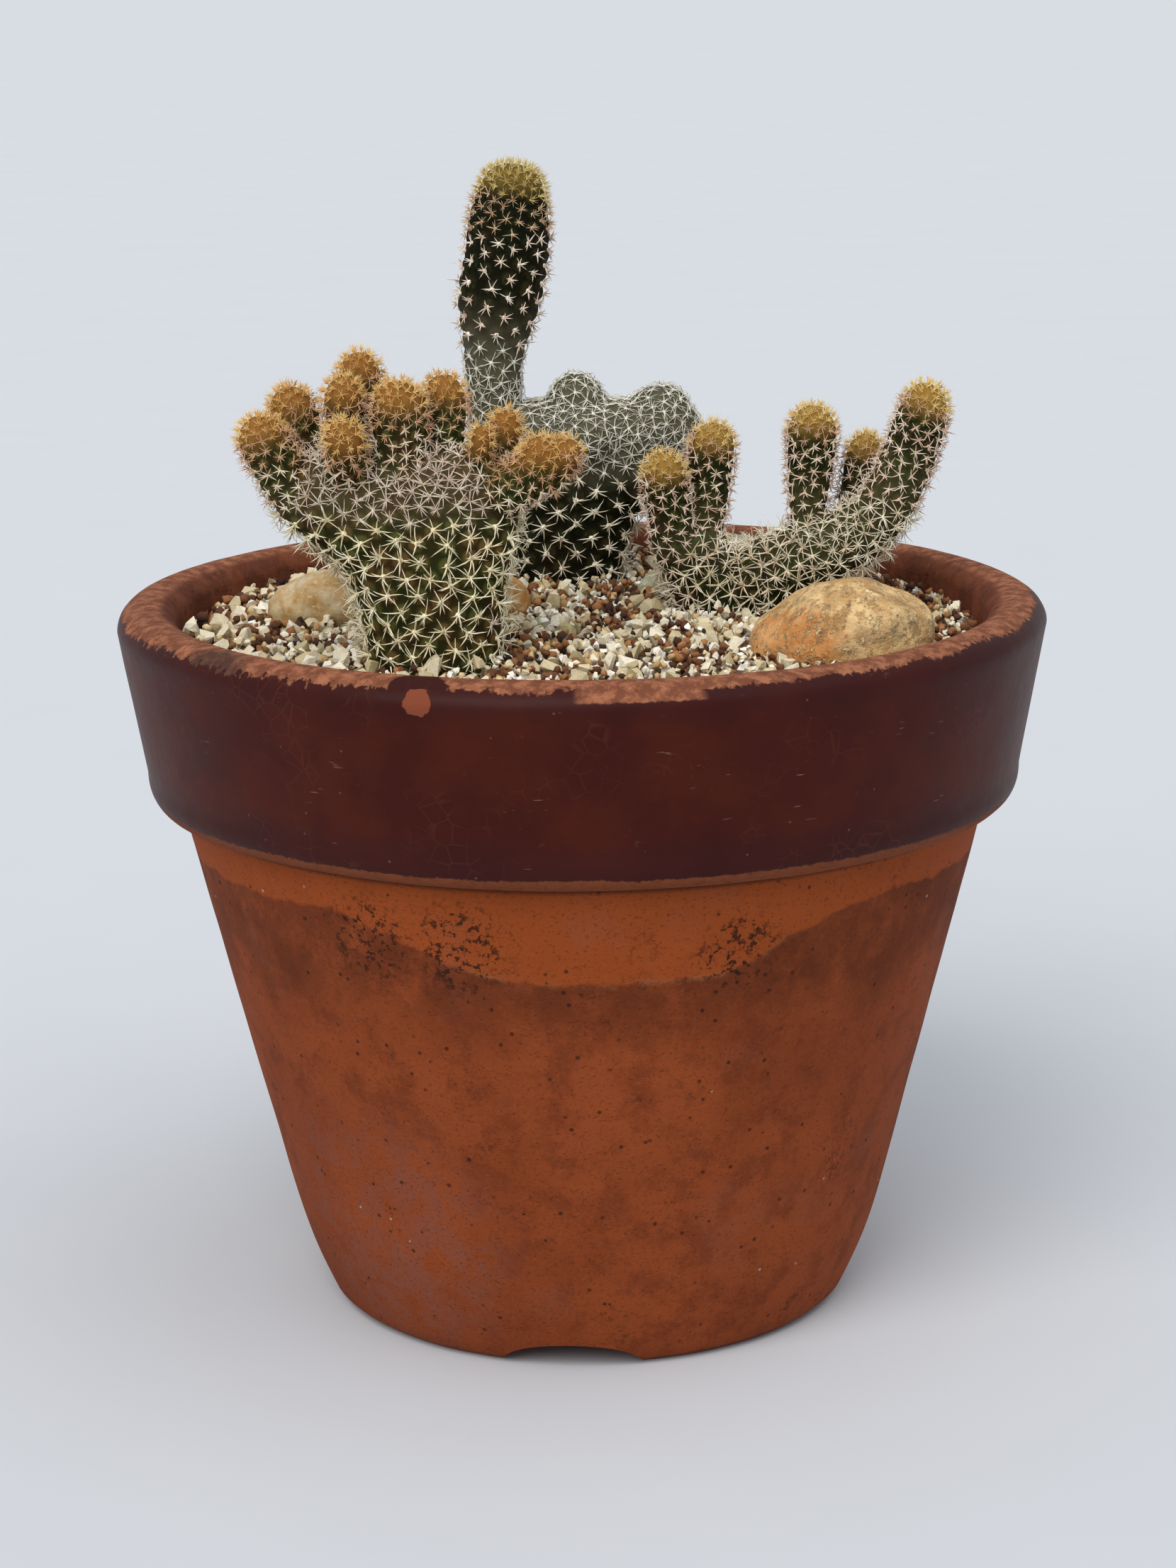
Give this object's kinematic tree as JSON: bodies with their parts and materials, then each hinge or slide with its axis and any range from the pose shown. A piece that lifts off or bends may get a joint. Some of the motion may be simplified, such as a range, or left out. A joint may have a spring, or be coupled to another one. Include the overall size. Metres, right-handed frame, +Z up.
{
  "type": "potted finger cactus",
  "caption": "Small round clay pot with a glazed rim, holding low finger-jointed spiny cacti in grit and stones; stands on its foot ring.",
  "frame": {"origin": "centre of the pot's foot, on the surface it stands on", "axes": "+Z up along the pot's axis, -Y towards the front of the planting"},
  "size_m": [0.125, 0.125, 0.1523],
  "materials": {
    "pot_clay": "unglazed mottled terracotta, with a dark maroon satin glaze round the rim band",
    "drain_net": "black plastic mesh",
    "potting_mix": "dark gritty potting mix",
    "top_grit": "loose mixed grit of pale pumice, brown clay granules and quartz chips",
    "tan_stone": "worn ochre cobble with rust patches",
    "cream_quartz": "cream quartz with ochre stains",
    "rust_quartz": "orange-brown quartz",
    "green_quartz": "pale grey-green quartz",
    "yellow_quartz": "pale yellow-green quartz",
    "cactus_trunk": "dark olive skin under white star-shaped spines",
    "cactus_finger": "dark olive skin with golden and pinkish-brown spines at the tip",
    "cactus_tall_finger": "nearly black-green skin with pinkish-white spine stars"
  },
  "bodies": {
    "root": {"drain_net": "drain_net", "green_stone_middle": "green_quartz", "left_bud_5": "cactus_finger", "left_bud_8": "cactus_finger", "left_finger_1": "cactus_finger", "left_finger_10": "cactus_finger", "left_finger_2": "cactus_finger", "left_finger_3": "cactus_finger", "left_finger_4": "cactus_finger", "left_finger_6": "cactus_finger", "left_finger_7": "cactus_finger", "left_finger_9": "cactus_finger", "left_trunk": "cactus_trunk", "middle_tall_finger": "cactus_tall_finger", "middle_trunk": "cactus_trunk", "pale_stone_back": "green_quartz", "pebble_green": "green_quartz", "pebble_orange": "rust_quartz", "pebble_pale": "cream_quartz", "pebble_yellow": "yellow_quartz", "pot": "pot_clay", "potting_mix": "potting_mix", "quartz_stone_left": "cream_quartz", "right_finger_1": "cactus_finger", "right_finger_2": "cactus_finger", "right_finger_3": "cactus_finger", "right_finger_4": "cactus_finger", "right_finger_5": "cactus_finger", "right_trunk": "cactus_trunk", "rust_stone": "rust_quartz", "tan_cobble": "tan_stone", "top_grit": "top_grit"}
  },
  "joints": []
}
